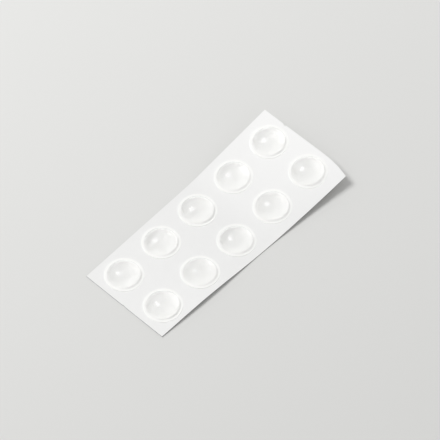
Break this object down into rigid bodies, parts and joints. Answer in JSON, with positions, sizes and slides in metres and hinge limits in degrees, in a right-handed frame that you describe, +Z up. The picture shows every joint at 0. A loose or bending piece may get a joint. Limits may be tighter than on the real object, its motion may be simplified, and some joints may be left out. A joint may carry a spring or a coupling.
{
  "type": "cabinet door bumper sheet",
  "caption": "Low clear domes with clear adhesive discs in two rows on a thin glossy white release liner, its far end curled up.",
  "frame": {"origin": "centre of the bounding box in plan, on the plane that the liner lies on", "axes": "+X along the sheet towards the curled far end, +Y across it towards the left long edge, +Z up out of the domes"},
  "size_m": [0.0747, 0.0324, 0.0062],
  "materials": {
    "coated_paper": "glossy silicone-coated white release paper",
    "clear_adhesive": "clear, glossy pressure-sensitive adhesive film",
    "clear_polyurethane": "clear, glossy soft polyurethane"
  },
  "bodies": {
    "root": {"release_liner": "coated_paper", "adhesive_disc_01": "clear_adhesive", "adhesive_disc_02": "clear_adhesive", "adhesive_disc_03": "clear_adhesive", "adhesive_disc_04": "clear_adhesive", "adhesive_disc_05": "clear_adhesive", "adhesive_disc_06": "clear_adhesive", "adhesive_disc_07": "clear_adhesive", "adhesive_disc_08": "clear_adhesive", "adhesive_disc_09": "clear_adhesive", "adhesive_disc_10": "clear_adhesive", "bumper_01": "clear_polyurethane", "bumper_02": "clear_polyurethane", "bumper_03": "clear_polyurethane", "bumper_04": "clear_polyurethane", "bumper_05": "clear_polyurethane", "bumper_06": "clear_polyurethane", "bumper_07": "clear_polyurethane", "bumper_08": "clear_polyurethane", "bumper_09": "clear_polyurethane", "bumper_10": "clear_polyurethane"}
  },
  "joints": []
}
